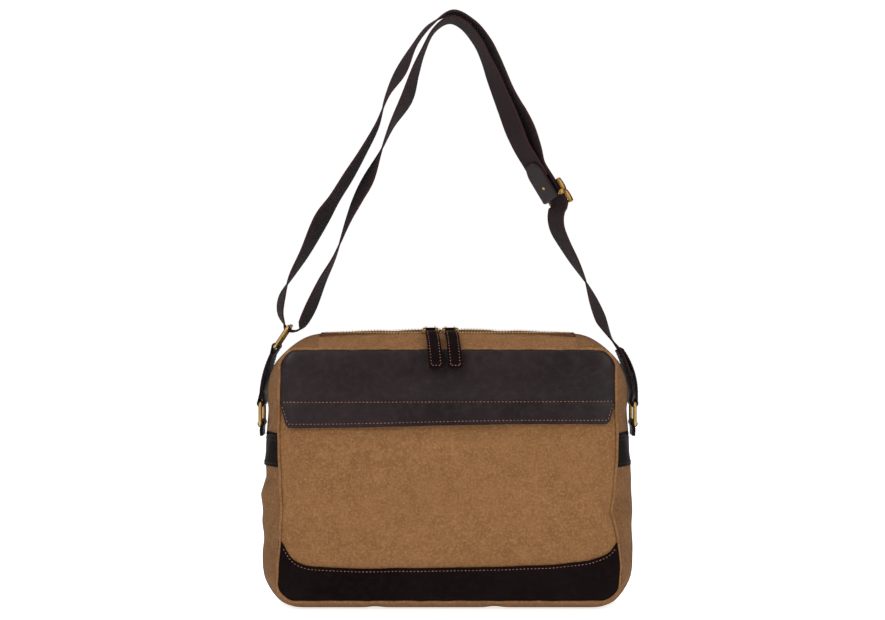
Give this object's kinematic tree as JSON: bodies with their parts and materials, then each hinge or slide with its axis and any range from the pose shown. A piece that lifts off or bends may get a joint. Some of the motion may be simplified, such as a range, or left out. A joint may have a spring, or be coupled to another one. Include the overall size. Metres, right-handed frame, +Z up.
{
  "type": "messenger bag",
  "caption": "Canvas messenger bag with leather trim, zipped top, flap-covered front pocket and an adjustable webbing shoulder strap.",
  "frame": {"origin": "middle of the flat base", "axes": "+Z up, -Y out of the front panel, +X along the bag's width to the right as seen from the front"},
  "size_m": [0.3912, 0.1123, 0.6107],
  "materials": {
    "canvas": "washed cotton canvas",
    "leather_dark": "dark brown pull-up leather",
    "leather_trim": "very dark brown leather",
    "lining_cloth": "plain weave lining",
    "board": "stiffener",
    "zip_cloth": "woven zip tape",
    "zip_metal": "antique brass",
    "brass_antique": "antique brass",
    "webbing": "heavy woven cotton webbing"
  },
  "bodies": {
    "bag": {"gusset": "canvas", "front_panel": "canvas", "back_panel": "canvas", "front_yoke": "leather_dark", "base_trim": "leather_trim", "side_patch_left": "leather_trim", "side_patch_right": "leather_trim", "lining": "lining_cloth", "base_board": "board", "inner_pocket": "lining_cloth", "pocket_pouch": "lining_cloth", "pocket_zip_tape_upper": "zip_cloth", "pocket_zip_tape_lower": "zip_cloth", "pocket_zip_teeth_upper": "zip_metal", "pocket_zip_teeth_lower": "zip_metal"},
    "mouth_back": {"top_half_back": "canvas", "zip_tape_back": "zip_cloth", "zip_teeth_back": "zip_metal"},
    "mouth_front": {"top_half_front": "canvas", "zip_tape_front": "zip_cloth", "zip_teeth_front": "zip_metal"},
    "slider_left": {"zip_slider_left": "brass_antique"},
    "slider_right": {"zip_slider_right": "brass_antique"},
    "pull_left": {"pull_bail_left": "brass_antique", "leather_pull_left": "leather_trim"},
    "pull_right": {"pull_bail_right": "brass_antique", "leather_pull_right": "leather_trim"},
    "flap": {"pocket_flap": "leather_dark"},
    "pocket_slider": {"pocket_zip_slider": "zip_metal"},
    "pocket_tab": {"pocket_zip_tab": "zip_metal"},
    "strap": {"strap_tab_left": "leather_trim", "strap_tab_right": "leather_trim", "lower_ring_left": "brass_antique", "lower_ring_right": "brass_antique", "strap_end_left": "leather_trim", "strap_end_right": "leather_trim", "upper_ring_left": "brass_antique", "strap_webbing": "webbing"},
    "adjuster": {"adjuster_buckle": "brass_antique", "adjuster_fold": "leather_trim", "adjuster_ply_outer": "leather_trim", "adjuster_ply_inner": "leather_trim", "adjuster_rivet": "brass_antique"}
  },
  "joints": [
    {"name": "back_half_open", "type": "hinge", "parent": "bag", "child": "mouth_back", "pos_m": [0, 0.046, 0.2653], "axis": [1, 0, 0], "range_deg": [-100, 0]},
    {"name": "front_half_open", "type": "hinge", "parent": "bag", "child": "mouth_front", "pos_m": [0, -0.046, 0.2653], "axis": [1, 0, 0], "range_deg": [0, 100], "deforming": ["zip_tape_front", "zip_teeth_front"]},
    {"name": "left_slider_run", "type": "slide", "parent": "mouth_back", "child": "slider_left", "axis": [1, 0, 0], "range_m": [-0.102, 0]},
    {"name": "right_slider_run", "type": "slide", "parent": "mouth_back", "child": "slider_right", "axis": [1, 0, 0], "range_m": [0, 0.115]},
    {"name": "left_pull_lift", "type": "hinge", "parent": "slider_left", "child": "pull_left", "pos_m": [-0.0175, -0.0129, 0.28492], "axis": [1, 0, 0], "range_deg": [-140, 0]},
    {"name": "right_pull_lift", "type": "hinge", "parent": "slider_right", "child": "pull_right", "pos_m": [0.0025, -0.0129, 0.28492], "axis": [1, 0, 0], "range_deg": [-140, 0]},
    {"name": "pocket_flap_lift", "type": "hinge", "parent": "bag", "child": "flap", "pos_m": [0, -0.0543, 0.2128], "axis": [1, 0, 0], "range_deg": [-110, 0]},
    {"name": "pocket_slider_run", "type": "slide", "parent": "bag", "child": "pocket_slider", "axis": [1, 0, 0], "range_m": [-0.255, 0]},
    {"name": "pocket_tab_lift", "type": "hinge", "parent": "pocket_slider", "child": "pocket_tab", "pos_m": [0.1292, -0.0503, 0.201], "axis": [0, 0, 1], "range_deg": [-5, 0]},
    {"name": "strap_swing", "type": "hinge", "parent": "bag", "child": "strap", "pos_m": [0, 0, 0.18], "axis": [1, 0, 0], "range_deg": [-105, 105]},
    {"name": "adjuster_run", "type": "slide", "parent": "strap", "child": "adjuster", "axis": [-0.515, 0, 0.8572], "range_m": [0, 0.02]}
  ],
  "couplings": [
    {"joint": "front_half_open", "follows": "back_half_open", "ratio": -1}
  ]
}
